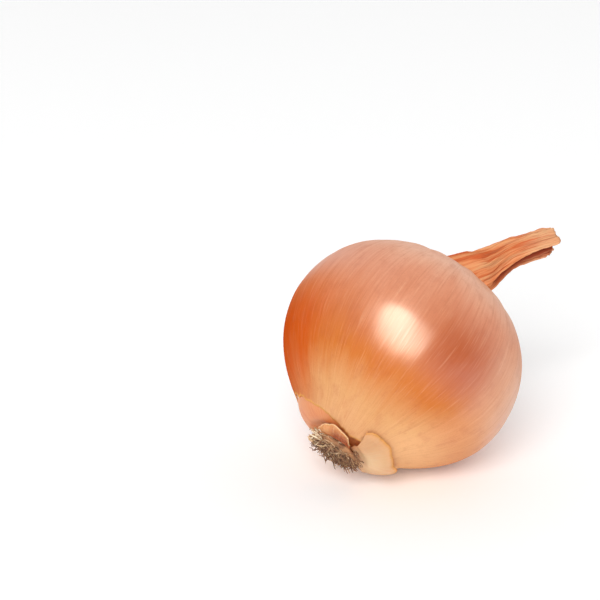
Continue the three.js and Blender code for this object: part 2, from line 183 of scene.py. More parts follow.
class OnionStage(bpy.types.PropertyGroup):
    """The floor, the light and the camera."""

    floor: colour("Floor", "The white floor", 252, 252, 252)
    floor_glow: number("Floor glow", "How much light comes through the floor from below", 0.1)
    sky_behind: number("Sky behind", "Strength of the sky on the far side of the onion", 1.05)
    sky_in_front: number("Sky in front", "Strength of the sky on the camera's side", 0.26)
    key: number("Key", "Power of the soft light in front, in watts", 215)
    key_size: length("Key size", "Width of the soft light", 3200)
    key_distance: length("Key distance", "From the lights to the onion", 5000)
    window: number("Window", "Power of the tall light that shows in the gloss, in watts", 550)
    window_width: length("Window width", "Width of the tall light", 3300)
    window_height: length("Window height", "Height of the tall light", 5000)
    window_colour: colour("Window colour", "Colour of the tall light", 255, 248, 226)
    azimuth: angle("Azimuth", "Where the camera stands round the onion", -49.2)
    elevation: angle("Elevation", "How far the camera looks down", 22)
    distance: length("Distance", "From the camera to the middle of the bulb", 600)
    width: length("View width", "Width of the view at the bulb", 183)


# Numbers that shape the form, in millimetres and degrees where no other unit is said
BLUNT = {"radius": 14, "width": 4.5, "fullness": 2.1}  # how the root end is fuller than a plain curve
BULGE = {"angle": -50, "width": 38, "z": -16, "height": 11, "swell": 0.035}  # one side is fuller
LEAVES_AT = 12  # radius where the shoulder turns up into the neck
FLARE = {"z": 38.5, "extra": 3, "fade": 10}
FOOT = (3.9, 0.1)  # how the turn from shoulder to neck starts, in and up
ANKLE = (0.4, 4.4)  # and how it ends, out and down
BENDS_FROM = 27
NECK_LINE = (
    (0, 0, 27),
    (0.2, -0.2, 29.7),
    (2.5, -1.8, 33.8),
    (5.7, -2.8, 38.3),
    (8.7, -3.2, 44.1),
    (11.8, -4, 51),
    (16.6, -6.2, 59),
    (21.3, -8.8, 66.2),
)
CREASE = {"angle": -76, "width": 15, "depth": 0.6, "swing": 14, "swing_z": 52, "swing_height": 9}
FLATTENED = {"angle": 150, "thin": 0.74}
CREASE_HEIGHTS = (38, 46)  # the crease comes in between these heights
STRAP = {"angle": -42, "width": 26, "dark": 0.6}  # the narrow leaf under the crease lies in shadow
# Where the neck's torn end stops sooner, or later where negative: (angle, width, millimetres)
ENDS_SOONER = (
    (STRAP["angle"], STRAP["width"], 3),
    (-95, 16, 0.4),
    (150, 35, -0.8),
)
NECK_TWIST = 20
LIGHT_FROM = (-0.13, 0.23, 0.95)  # right, up and back towards the camera, as the camera sees it
WRINKLE = 0.06
# The outer skin is torn away round the root: (angle, distance from the axis, lift) of its edge
TEAR = (
    (-161, 14, 0.15),
    (-150, 13.5, 0.7),
    (-136, 12.9, 1.0),
    (-122, 13, 0.5),
    (-104, 12, 0.1),
    (-50, 11.5, 0.1),
    (-10, 12.5, 0.2),
    (25, 15.5, 0.1),
    (60, 16, 0.1),
    (90, 19.4, 0.2),
    (120, 19.8, 0.05),
    (140, 18.3, 0.05),
    (159, 17.1, 0.05),
    (175, 16.2, 0.05),
    (188, 15.2, 0.1),
)


def ramp(low, high, value):
    """0 below low, 1 above high, and smooth between them."""
    share = min(max((value - low) / (high - low), 0), 1)
    return share * share * (3 - 2 * share)


def mixed(a, b, share):
    return a + (b - a) * share


def turn_between(a, b):
    """The signed gap between two angles, from -180 to 180 degrees."""
    return (a - b + 180) % 360 - 180


def bell(value):
    return math.exp(-value * value)


def ring_value(ring, degrees):
    """The values at an angle on a ring of (angle, value, ...) rows, smoothly and with no seam."""
    first = ring[0]
    at = (degrees - first[0]) % 360 + first[0]
    closed = [*ring, (first[0] + 360, *first[1:])]
    for low, high in zip(closed, closed[1:]):
        if low[0] <= at <= high[0]:
            share = ramp(low[0], high[0], at)
            return [mixed(a, b, share) for a, b in zip(low[1:], high[1:])]
    return list(first[1:])


def row_value(rows, share):
    """The values at a share, 0 to 1, along evenly spread rows, on a smooth curve through them."""
    place = min(max(share, 0), 1) * (len(rows) - 1)
    k = min(int(place), len(rows) - 2)
    t = place - k
    before = rows[max(k - 1, 0)]
    after = rows[min(k + 2, len(rows) - 1)]
    values = []
    for p0, p1, p2, p3 in zip(before, rows[k], rows[k + 1], after):
        curve = 2 * p1 + (p2 - p0) * t + (2 * p0 - 5 * p1 + 4 * p2 - p3) * t * t
        values.append((curve + (3 * p1 - p0 - 3 * p2 + p3) * t ** 3) / 2)
    return values


class Line:
    """A polyline that is read by the distance along it."""

    def __init__(self, points):
        self.points = [Vector(p) for p in points]
        self.reach = [0.0]
        for a, b in zip(self.points, self.points[1:]):
            self.reach.append(self.reach[-1] + (b - a).length)
        self.length = self.reach[-1]

    def segment(self, distance):
        low, high = 0, len(self.reach) - 2
        while low < high:
            middle = (low + high + 1) // 2
            if self.reach[middle] <= distance:
                low = middle
            else:
                high = middle - 1
        return low

    def at(self, distance):
        """The point and the direction there."""
        k = self.segment(min(max(distance, 0), self.length))
        a, b = self.points[k], self.points[k + 1]
        step = self.reach[k + 1] - self.reach[k]
        return a.lerp(b, (distance - self.reach[k]) / step), (b - a) / step


def curved(points, steps):
    """Points on a centripetal curve through the ones given."""
    pts = [Vector(p) for p in points]
    pts = [2 * pts[0] - pts[1], *pts, 2 * pts[-1] - pts[-2]]
    made = [pts[1].copy()]
    for p0, p1, p2, p3 in zip(pts, pts[1:], pts[2:], pts[3:]):
        t1 = (p1 - p0).length ** 0.5
        t2 = t1 + (p2 - p1).length ** 0.5
        t3 = t2 + (p3 - p2).length ** 0.5
        for i in range(1, steps + 1):
            t = mixed(t1, t2, i / steps)
            a1 = p0.lerp(p1, t / t1)
            a2 = p1.lerp(p2, (t - t1) / (t2 - t1))
            a3 = p2.lerp(p3, (t - t2) / (t3 - t2))
            b1 = a1.lerp(a2, t / t2)
            b2 = a2.lerp(a3, (t - t1) / (t3 - t1))
            made.append(b1.lerp(b2, (t - t1) / (t2 - t1)))
    return made


class Onion:
    """The form of the onion: where any place on its surface is. Millimetres in, metres out."""

    def __init__(self, shape):
        self.radius = shape.radius / MM
        self.base_depth = shape.base_depth / MM
        self.base_power = shape.base_power
        self.top_depth = shape.top_depth / MM
        self.top_power = shape.top_power
        self.neck_radius = shape.neck_radius / MM
        self.clearance = shape.clearance / MM
        self.neck = Line(curved(NECK_LINE, 14))
        self.tip = BENDS_FROM + self.neck.length
        self.meridian = Line([(r, z, 0) for r, z in self.outline()])
        self.widest = self.distance_to(self.radius - 1e-4)
        self.lying = self.laid_over(shape.lean, shape.flat_depth / MM)

    def bluntness(self, r):
        return BLUNT["fullness"] * math.exp(-(((r - BLUNT["radius"]) / BLUNT["width"]) ** 4))

    def base(self, r):
        """Height of the plain lower surface at a distance from the axis."""
        share = min(r / self.radius, 1) ** self.base_power
        return -self.base_depth * (1 - share) ** (1 / self.base_power) - self.bluntness(r)

    def neck_width(self, z):
        return self.neck_radius + FLARE["extra"] * math.exp(-(z - FLARE["z"]) / FLARE["fade"])

    def outline(self):
        """(radius, height) from the root, round the bulb and up the neck."""
        steps = 120
        for i in range(steps):
            turn = math.pi / 2 * (1 - i / steps)
            r = self.radius * max(math.cos(turn), 0) ** (2 / self.base_power)
            yield r, self.base(r)
        cosine = (LEAVES_AT / self.radius) ** (self.top_power / 2)
        shoulder = math.acos(cosine)
        for i in range(steps + 1):
            turn = shoulder * i / steps
            r = self.radius * math.cos(turn) ** (2 / self.top_power)
            z = self.top_depth * math.sin(turn) ** (2 / self.top_power)
            yield r, z
        top = self.neck_width(FLARE["z"])
        corners = [
            (r, z),
            (LEAVES_AT - FOOT[0], z + FOOT[1]),
            (top + ANKLE[0], FLARE["z"] - ANKLE[1]),
            (top, FLARE["z"]),
        ]
        for i in range(1, 25):
            t = i / 24
            weights = ((1 - t) ** 3, 3 * t * (1 - t) ** 2, 3 * t * t * (1 - t), t ** 3)
            yield tuple(sum(w * c[k] for w, c in zip(weights, corners)) for k in (0, 1))
        for i in range(1, 61):
            z = mixed(FLARE["z"], self.tip, i / 60)
            yield self.neck_width(z), z

    def distance_to(self, r):
        """How far from the root pole the lower surface reaches a distance from the axis."""
        low, high = 0.0, self.meridian.length / 2
        for _ in range(40):
            middle = (low + high) / 2
            point, _ = self.meridian.at(middle)
            if point.x < r and point.y < 0:
                low = middle
            else:
                high = middle
        return low

    def unevenness(self, turn, z):
        """The bulb is not quite round, and low ribs run from the root to the neck."""
        from_bulge = turn - math.radians(BULGE["angle"])
        oval = 0.003 * math.cos(2 * (from_bulge + math.pi / 2))
        skew = 0.004 * math.sin(3 * from_bulge)
        off = turn_between(math.degrees(turn), BULGE["angle"]) / BULGE["width"]
        swell = BULGE["swell"] * bell(off) * bell((z - BULGE["z"]) / BULGE["height"])
        ribs = 0.0012 * math.cos(14 * turn + 0.5) + 0.0009 * math.cos(23 * turn + 2)
        gathered = 1 + 12 * ramp(20, 31, z) * (1 - ramp(44, 56, z))
        return 1 + (oval + skew) * (1 - ramp(22, 34, z)) + swell + ribs * gathered

    def veins(self, turn, z):
        """Fine uneven ridges along the skin, as a share of the radius."""
        x, y = math.cos(turn), math.sin(turn)
        broad = noise.noise(Vector((7 * x, 7 * y, 0.02 * z)))
        fine = noise.noise(Vector((19 * x, 19 * y, 0.03 * z + 9)))
        near_ends = 1 + 1.2 * ramp(-18, -31, z) + ramp(20, 32, z) * (1 - ramp(40, 50, z))
        return (0.0016 * broad + 0.0008 * fine) * near_ends

    def neck_folds(self, turn, z):
        """(growth, painted shade) of the dried leaves in the neck: the second darkens their folds, the
        crease and the strap under it as painted shade.
        """
        here = ramp(33, 42, z)
        if here == 0:
            return 1, 0
        x, y = math.cos(turn), math.sin(turn)
        turned = turn + math.radians(NECK_TWIST) * (z - FLARE["z"]) / self.neck.length
        waves = math.cos(5 * turned + 1.1)
        waves += 0.8 * math.cos(8 * turned + 0.12 * z) + 0.6 * math.cos(13 * turned)
        strands = noise.noise(Vector((9 * math.cos(turned), 9 * math.sin(turned), 0.05 * z)))
        threads = noise.noise(Vector((24 * math.cos(turned), 24 * math.sin(turned), 0.1 * z)))
        puckers = noise.noise(Vector((3.2 * x + 0.12 * z, 3.2 * y, 0.42 * z)))
        puckers *= ramp(-26, -10, z - self.tip)
        off = turn_between(math.degrees(turn), self.crease_at(z)) / CREASE["width"]
        creased = ramp(*CREASE_HEIGHTS, z)
        crease = bell(off) * creased
        overlap = bell((off + 1.9) / 0.8) * ramp(42, 50, z)
        calm = 1 - 0.6 * ramp(self.tip - 3, self.tip, z)
        growth = 1 + here * (WRINKLE * waves + calm * (0.13 * strands + 0.07 * threads) + 0.1 * puckers)
        growth += 0.08 * overlap - CREASE["depth"] * crease - 0.12 * bell(2.5 * off) * creased
        # How dark the folds, the crease and the strap under it are painted: painted shade
        depth = bell(0.8 * off) * ramp(36, 44, z) - here * (0.12 * waves + 0.5 * strands + 0.35 * threads)
        from_strap = turn_between(math.degrees(turn), STRAP["angle"]) / STRAP["width"]
        depth += STRAP["dark"] * bell(from_strap) * creased
        return growth, min(max(depth, 0), 1)

    def crease_at(self, z):
        """The angle of the neck's long crease at a height."""
        return CREASE["angle"] + CREASE["swing"] * bell((z - CREASE["swing_z"]) / CREASE["swing_height"])

    def bend(self, point, turn, ragged=1.0):
        """Flattens the neck, tears its end and bends it along its line."""
        if point.z <= BENDS_FROM:
            return point
        flat = ramp(40, 54, point.z)
        flattened = math.radians(FLATTENED["angle"])
        across = Vector((math.cos(flattened), math.sin(flattened), 0))
        side = Vector((-across.y, across.x, 0))
        thin = mixed(1, FLATTENED["thin"], flat)
        section = across * point.dot(across) + side * point.dot(side) * thin
        torn = 0.9 + 0.4 * math.cos(2 * turn + 0.6) + 0.2 * math.cos(5 * turn)
        torn += 0.5 * noise.noise(Vector((4 * math.cos(turn), 4 * math.sin(turn), 3)))
        for middle, width, sooner in ENDS_SOONER:
            torn += sooner * bell(turn_between(math.degrees(turn), middle) / width)
        distance = point.z - ragged * torn * ramp(self.tip - 6, self.tip, point.z) - BENDS_FROM
        centre, direction = self.neck.at(distance)
        lined_up = Vector((0, 0, 1)).rotation_difference(direction)
        turned = Quaternion().slerp(lined_up, ramp(BENDS_FROM + 2, FLARE["z"], point.z))
        return turned @ section + centre

    def place(self, turn, r, z, lift=0.0, ragged=1.0):
        """A point on the skin, and the painted shade of the fold it lies in. lift is along the plain
        surface's normal.
        """
        growth, fold = self.neck_folds(turn, z)
        grown = r * self.unevenness(turn, z) * (growth + self.veins(turn, z)) + lift
        return self.bend(Vector((grown * math.cos(turn), grown * math.sin(turn), z)), turn, ragged), fold

    def over_base(self, turn, r, stand):
        """A point that stands off the lower surface, along its normal."""
        step = 0.05
        slope = (self.base(r + step) - self.base(r - step)) / (2 * step)
        tilt = math.hypot(1, slope)
        uneven = self.unevenness(turn, self.base(r))
        out = (r + stand * slope / tilt) * uneven
        return Vector((out * math.cos(turn), out * math.sin(turn), self.base(r) - stand / tilt))

    def laid_over(self, lean, flat_depth):
        """The matrix that lays the onion over and sets its flat on the origin, in metres."""
        down_axial, down_radial = math.cos(lean), math.sin(lean)
        power = self.base_power / (self.base_power - 1)
        radial_term, axial_term = self.radius * down_radial, self.base_depth * down_axial
        height = (radial_term ** power + axial_term ** power) ** (1 / power)
        r = self.radius * (radial_term / height) ** (power - 1)
        z = -self.base_depth * (axial_term / height) ** (power - 1)
        place = Vector((-(r * down_axial + z * down_radial), 0, height - flat_depth))
        return Matrix.Translation(place * MM) @ Matrix.Rotation(lean, 4, "Y") @ Matrix.Scale(MM, 4)

    @property
    def middle(self):
        """The middle of the bulb, lying."""
        return self.lying.translation.copy()


# Mesh helpers


def spun_tube(rows, around):
    """An open tube of radius 1 from z = 0 to z = 1, whose points are then moved."""
    bm = bmesh.new()
    line = [bm.verts.new((1, 0, i / rows)) for i in range(rows + 1)]
    for a, b in zip(line, line[1:]):
        bm.edges.new((a, b))
    bmesh.ops.spin(
        bm,
        geom=line + bm.edges[:],
        cent=(0, 0, 0),
        axis=(0, 0, 1),
        angle=math.tau,
        steps=around,
        use_merge=True,
        use_duplicate=False,
    )
    return bm


def finished(bm, name, onion, material, closed=True):
    """Gives the mesh outward normals and makes a smooth object of it, laid over."""
    bmesh.ops.remove_doubles(bm, verts=bm.verts, dist=1e-4)
    bmesh.ops.recalc_face_normals(bm, faces=bm.faces)
    if not closed:
        middle = sum((v.co for v in bm.verts), Vector()) / len(bm.verts)
        outward = sum(f.normal.dot(f.calc_center_median() - middle) for f in bm.faces)
        if outward < 0:
            bmesh.ops.reverse_faces(bm, faces=bm.faces)
    return laid_object(bm, name, onion, material)


def laid_object(bm, name, onion, material):
    """Lays the mesh over, keeps it above the floor, and makes a smooth object of it."""
    bmesh.ops.transform(bm, matrix=onion.lying, verts=bm.verts)
    for vert in bm.verts:
        vert.co.z = max(vert.co.z, 0)
    mesh = bpy.data.meshes.new(name)
    bm.to_mesh(mesh)
    bm.free()
    mesh.shade_smooth()
    mesh.materials.append(material)
    piece = bpy.data.objects.new(name, mesh)
    bpy.context.scene.collection.objects.link(piece)
    return piece


def thickened(piece, thickness):
    wall = piece.modifiers.new("wall", "SOLIDIFY")
    wall.thickness = thickness
    wall.offset = -1
    return piece


def grain_at(onion, turn, distance):
    """Where a point lies for the skin's pattern: round the onion, and along it from its widest place."""
    return Vector((math.cos(turn), math.sin(turn), (distance - onion.widest) / onion.radius))


# Materials


class Wire:
    """A value on its way through a material. Arithmetic on it adds Math nodes."""

    def __init__(self, shading, socket):
        self.shading = shading
        self.socket = socket

    def maths(self, operation, *values):
        return self.shading.node("ShaderNodeMath", {"operation": operation}, dict(enumerate(values)))

    def __add__(self, other):
        return self.maths("ADD", self, other)

    __radd__ = __add__

    def __sub__(self, other):
        return self.maths("SUBTRACT", self, other)

    def __rsub__(self, other):
        return self.maths("SUBTRACT", other, self)

    def __mul__(self, other):
        return self.maths("MULTIPLY", self, other)

    __rmul__ = __mul__

    def between(self, low, high):
        """0 where this is below low, 1 where it is above high, and smooth between them."""
        settings = {"interpolation_type": "SMOOTHSTEP", "clamp": True}
        return self.shading.node("ShaderNodeMapRange", settings, {0: self, 1: low, 2: high})


class Shading:
    """The nodes of a material or of the world."""

    def __init__(self, tree):
        self.tree = tree

    def node(self, kind, settings=None, sockets=None, out=0):
        """Adds a node: its settings first, then the values or links of its sockets."""
        made = self.tree.nodes.new(kind)
        for key, value in (settings or {}).items():
            if key == "stops":
                self.set_stops(made.color_ramp, value)
            else:
                setattr(made, key, value)
        for key, value in (sockets or {}).items():
            if isinstance(value, Wire):
                self.tree.links.new(value.socket, made.inputs[key])
            else:
                made.inputs[key].default_value = value
        return Wire(self, made.outputs[out])

    @staticmethod
    def set_stops(colour_ramp, stops):
        for place, shade in stops[2:]:
            colour_ramp.elements.new(place)
        for element, (place, shade) in zip(colour_ramp.elements, stops):
            element.position = place
            element.color = (*shade, 1)


class Finish(Shading):
    """A material that is being put together."""

    def __init__(self, name, **uniform):
        self.material = bpy.data.materials.new(name)
        self.material.use_nodes = True
        super().__init__(self.material.node_tree)
        self.shader = self.tree.nodes["Principled BSDF"]
        for socket, value in uniform.items():
            self.shader.inputs[socket.replace("_", " ").title().replace("Ior", "IOR")].default_value = value

    def attribute(self, name, out="Vector"):
        return self.node("ShaderNodeAttribute", {"attribute_name": name}, out=out)

    def part(self, vector, axis):
        return self.node("ShaderNodeSeparateXYZ", None, {0: vector}, out=axis)

    def scaled(self, vector, scale, offset=(0, 0, 0)):
        return self.node("ShaderNodeMapping", None, {"Vector": vector, "Scale": scale, "Location": offset})

    def noise(self, vector, scale, detail=2.0, roughness=0.5):
        sockets = {"Vector": vector, "Scale": scale, "Detail": detail, "Roughness": roughness}
        return self.node("ShaderNodeTexNoise", None, sockets)

    def mix(self, a, b, factor):
        """A colour between a and b."""
        pair = [shade if isinstance(shade, Wire) else (*shade, 1) for shade in (a, b)]
        return self.node("ShaderNodeMix", {"data_type": "RGBA"}, {0: factor, 6: pair[0], 7: pair[1]}, out=2)

    def layered(self, base, *layers):
        """The base with each (colour, share) laid over it in turn."""
        for shade, share in layers:
            base = self.mix(base, shade, share)
        return base

    def feed(self, **wires):
        for socket, wire in wires.items():
            self.tree.links.new(wire.socket, self.shader.inputs[socket.replace("_", " ").title()])

    def bump(self, height, distance, strength=1.0):
        sockets = {"Height": height, "Distance": distance, "Strength": strength}
        self.feed(normal=self.node("ShaderNodeBump", None, sockets))


def skin_finish(colours):
    """The glossy dry skin: colour zones from root to neck, with fine streaks along it."""
    finish = Finish("onion_skin", specular_ior_level=0, coat_ior=1.95, coat_roughness=0.31)
    grain = finish.attribute("grain")
    along = finish.part(grain, "Z")
    fold = finish.attribute("fold", out="Fac")

    broad = finish.noise(finish.scaled(grain, (5, 5, 0.9)), 1.0, 3.0)
    bands = finish.noise(finish.scaled(grain, (17, 17, 1.5), (3, 0, 0)), 1.0, 3.0, 0.6)
    streaks = finish.noise(finish.scaled(grain, (48, 48, 2.4), (0, 5, 0)), 1.0, 3.0, 0.6)
    hairs = finish.noise(finish.scaled(grain, (105, 105, 5), (0, 0, 7)), 1.0, 2.0, 0.6)
    mottle = finish.noise(finish.scaled(grain, (8, 8, 8)), 1.0, 3.0, 0.6)
    specks = finish.noise(finish.scaled(grain, (75, 75, 75), (6, 0, 6)), 1.0, 2.0, 0.7)

    wander = (broad - 0.5) * 0.2 + (bands - 0.5) * 0.08

    def towards(degrees, low, high):
        x, y = finish.part(grain, "X"), finish.part(grain, "Y")
        turned = x * math.cos(math.radians(degrees)) + y * math.sin(math.radians(degrees))
        return (turned + wander).between(low, high)

    shifted = along + (broad - 0.5) * 0.36 + (bands - 0.5) * 0.16 + (streaks - 0.5) * 0.1
    shifted = shifted - 0.07 * towards(-72, 0.7, 1.0)
    place = finish.node("ShaderNodeMapRange", {"clamp": True}, {0: shifted, 1: -1.3, 2: 1.5})
    stops = (
        (0.09, colours.root_end),
        (0.17, colours.low),
        (0.29, colours.band),
        (0.37, colours.deep),
        (0.46, colours.middle),
        (0.58, colours.high),
        (0.7, colours.shoulder),
        (0.95, colours.neck),
    )
    zones = finish.node("ShaderNodeValToRGB", {"stops": stops}, {0: place})

    # One flank is a deeper orange red, partly the skin's own colour and partly painted orange bounce light,
    # then comes a darker patch, and the side over the floor is painted paler, as painted rim light and
    # light from the floor
    red_flank_and_bounce_light = towards(124, 0.48, 1.08) * along.between(0.12, -0.4) * along.between(-1.4, -0.6)
    dark_patch = towards(-114, 0.8, 1.04) * along.between(0.45, -0.05) * along.between(-0.46, -0.14)
    pale_flank_painted_light = towards(-58, 0.62, 1.0) * along.between(0.7, 0.1)
    pale_low_painted_light = towards(-62, 0.45, 1.0) * along.between(-0.5, -0.9)
    light_streak = streaks.between(0.5, 0.75) * bands.between(0.4, 0.65)
    skin_colour = finish.layered(
        zones,
        (colours.red_side_and_bounce_light, red_flank_and_bounce_light * 0.95),
        (colours.dark_side, dark_patch * 0.95),
        (colours.pale_side_painted_light, pale_flank_painted_light * 0.8),
        (colours.pale_low_painted_light, pale_low_painted_light * 0.65),
        (colours.streak_light, light_streak * 0.2),
        (colours.streak_dark, streaks.between(0.5, 0.28) * 0.18),
        (colours.mottle, mottle.between(0.48, 0.72) * 0.22),
        (colours.hair, hairs.between(0.54, 0.74) * 0.1),
        (colours.speck, specks.between(0.5, 0.72) * 0.16),
    )

    on_neck = along.between(1.0, 1.25)
    leaves = finish.noise(finish.scaled(grain, (3.4, 3.4, 1.7), (0, 0, 3)), 1.0, 2.0)
    strands = finish.noise(finish.scaled(grain, (13, 13, 1.6), (4, 0, 0)), 1.0, 4.0, 0.65)
    neck_colour = finish.layered(
        colours.neck,
        (colours.neck_light, leaves.between(0.5, 0.62) * 0.8),
        (colours.neck_red, leaves.between(0.46, 0.36) * 0.85),
        (colours.neck_tip, along.between(1.85, 2.25) * 0.7),
        (colours.neck_red, strands.between(0.5, 0.36) * 0.75),
        (colours.neck_thread, strands.between(0.56, 0.7) * 0.5),
        # painted shade deep in the neck's folds
        (colours.neck_fold_shade, fold),
    )
    edge = finish.attribute("edge", out="Fac")
    whole_colour = finish.layered(skin_colour, (neck_colour, on_neck), (colours.torn_edge, edge))

    # The gloss is strongest above the orange band, and fades to the neck and on the red flank
    dull = towards(132, 0.4, 0.9) * along.between(0.3, -0.1)
    relief = streaks * 0.5 + hairs * 0.3 + bands * 0.5 + strands * on_neck * 6.0
    shine = (0.16 + 0.84 * along.between(-0.5, -0.14)) * (1 - 0.6 * along.between(0.06, 0.5))
    gloss = shine * (1 - dull) * (1 - on_neck) * (0.9 + (streaks - 0.5) * 0.5 + (hairs - 0.5) * 0.4)
    roughness = 0.36 + (streaks - 0.5) * 0.12 + on_neck * 0.25
    finish.feed(base_color=whole_colour, roughness=roughness, coat_weight=gloss)
    finish.bump(relief, 0.00012, 0.35)
    return finish.material


# Light gets into the moist scale and the thin torn skins and comes out warmer. The faint orange emission is
# a painted glow that warms their shade.
FLESH_AND_PAINTED_GLOW = {
    "subsurface_weight": 0.25,
    "subsurface_radius": (1, 0.55, 0.3),
    "subsurface_scale": 0.003,
    "emission_color": (1, 0.16, 0.02, 1),
    "emission_strength": 0.04,
}


def under_finish(colours):
    """The scale below the outer skin: smooth, pinkish orange, finely veined."""
    finish = Finish("onion_under_skin", roughness=0.42, ior=1.45, **FLESH_AND_PAINTED_GLOW)
    grain = finish.attribute("grain")
    veins = finish.noise(finish.scaled(grain, (34, 34, 1.2)), 1.0, 4.0, 0.6)
    patches = finish.noise(finish.scaled(grain, (6, 6, 6), (2, 2, 2)), 1.0, 3.0)
    base = finish.mix(colours.under, colours.under_patch, patches.between(0.45, 0.7) * 0.6)
    finish.feed(base_color=finish.mix(base, colours.under_vein, veins.between(0.5, 0.75) * 0.4))
    finish.bump(veins, 0.00012, 0.5)
    return finish.material


def torn_finish(name, shade, shade_at_root, low_shade, low_range, vein_shade, rim_shade):
    """Dry torn skin: shades by the root plate and on its low side, with veins and a rim. On the lip these
    root and low-side shades are painted shade of its hollow; on the cream skin they are its own colour.
    """
    finish = Finish(name, roughness=0.5, ior=1.4, **FLESH_AND_PAINTED_GLOW)
    grain = finish.attribute("grain")
    reach = finish.attribute("reach", out="Fac")
    low_side = finish.part(grain, "X") * 0.62 - finish.part(grain, "Y") * 0.78
    veins = finish.noise(finish.scaled(grain, (30, 30, 2.5)), 1.0, 4.0, 0.6)
    hairs = finish.noise(finish.scaled(grain, (80, 80, 5), (2, 0, 0)), 1.0, 2.0, 0.6)
    patches = finish.noise(finish.scaled(grain, (7, 7, 7)), 1.0, 3.0)
    rim = (reach + (hairs - 0.5) * 0.05).between(0.94, 0.985)
    sheet_colour = finish.layered(
        shade_at_root,
        (shade, (reach + (patches - 0.5) * 0.5).between(0.1, 0.6)),
        # on the lip, painted shade of its hollow low side
        (low_shade, low_side.between(*low_range) * (1.1 - reach) * 2.0),
        (vein_shade, veins.between(0.5, 0.78) * 0.4),
        (shade_at_root, veins.between(0.48, 0.25) * 0.5 + patches.between(0.5, 0.7) * 0.3),
        (rim_shade, hairs.between(0.55, 0.75) * 0.2),
        # the rim colour; on the cream skin it also paints the thin shadow line along the edge
        (rim_shade, rim * 0.8),
    )
    finish.feed(base_color=sheet_colour)
    finish.bump(veins + patches * 0.8 + hairs * 0.4, 0.0002, 0.6)
    return finish.material


def root_finish(colours):
    """Dry root fibres, each with its own shade, with dust between them."""
    finish = Finish("onion_roots", roughness=0.85, ior=1.4)
    tone = finish.attribute("tone", out="Fac")
    place = finish.node("ShaderNodeTexCoord", out="Object")
    dust = finish.noise(place, 900.0, 3.0)
    stops = (
        (0.0, colours.root_dark),
        (0.4, colours.root_brown),
        (0.7, colours.root_straw),
        (1.0, colours.root_pale),
    )
    shade = finish.node("ShaderNodeValToRGB", {"stops": stops}, {0: tone + (dust - 0.5) * 0.5})
    finish.feed(base_color=shade)
    finish.bump(dust, 0.0001, 0.7)
    return finish.material


def plate_finish(colours):
    """The corky root plate."""
    finish = Finish("onion_plate", roughness=0.75, ior=1.4)
    place = finish.node("ShaderNodeTexCoord", out="Object")
    patches = finish.noise(place, 260.0, 4.0, 0.6)
    cork = finish.noise(place, 1100.0, 3.0)
    shade = finish.mix(colours.plate, colours.plate_dark, patches.between(0.4, 0.65))
    finish.feed(base_color=finish.mix(shade, colours.plate_light, cork.between(0.55, 0.75) * 0.5))
    finish.bump(cork * 0.5 + patches, 0.0003, 0.8)
    return finish.material


# Pieces


def make_outer_skin(shape, colours):
    """The dry outer skin, from its torn edge round the root to the end of the neck."""
    onion = Onion(shape)
    bm = spun_tube(shape.along, shape.around)
    grain = bm.verts.layers.float_vector.new("grain")
    fold_shades = bm.verts.layers.float.new("fold")
    edges = bm.verts.layers.float.new("edge")
    for vert in bm.verts:
        turn = math.atan2(vert.co.y, vert.co.x)
        r_edge, edge_lift = ring_value(TEAR, math.degrees(turn))
        nibble = noise.noise(Vector((11 * math.cos(turn), 11 * math.sin(turn), 0)))
        nibble += 0.6 * noise.noise(Vector((31 * math.cos(turn), 31 * math.sin(turn), 5)))
        start = onion.distance_to(r_edge + 0.45 * nibble)
        distance = mixed(start, onion.meridian.length, vert.co.z)
        point, _ = onion.meridian.at(distance)
        from_edge = distance - start
        placed, fold = onion.place(turn, point.x, point.y)
        lift = edge_lift * bell(from_edge / 3.5) * (1 + 0.5 * nibble)
        placed.z -= lift
        vert[grain] = grain_at(onion, turn, distance)
        vert[fold_shades] = fold
        vert[edges] = ramp(0.6, 0.1, from_edge)
        vert.co = placed
    piece = finished(bm, "outer_skin", onion, skin_finish(colours), closed=False)
    thickened(piece, shape.skin)
    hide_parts("bulb")
    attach(piece, "root")
    return piece


NECK_LEFT_OUT = 0.82  # the next scale stops this share of the neck's length below its tip
CLOSES_AT = 0.985  # and closes up from this share of its own length


def make_next_scale(shape, colours):
    """The scale below the outer skin, closed at both ends, which shows where that is torn away."""
    onion = Onion(shape)
    inset = shape.under_skin / MM
    bm = spun_tube(90, 180)
    grain = bm.verts.layers.float_vector.new("grain")
    last = onion.meridian.length - onion.neck.length * NECK_LEFT_OUT
    for vert in bm.verts:
        turn = math.atan2(vert.co.y, vert.co.x)
        share = vert.co.z
        distance = last * share
        point, direction = onion.meridian.at(distance)
        normal = Vector((direction.y, -direction.x, 0))
        r = max(point.x - inset * normal.x, 0)
        z = point.y - inset * normal.y
        if share > CLOSES_AT:
            r *= (1 - share) / (1 - CLOSES_AT)
        if share == 0:
            r = 0
        placed, _ = onion.place(turn, r, z)
        vert[grain] = grain_at(onion, turn, distance)
        vert.co = placed
    piece = finished(bm, "next_scale", onion, under_finish(colours))
    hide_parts("bulb")
    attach(piece, "root")
    return piece


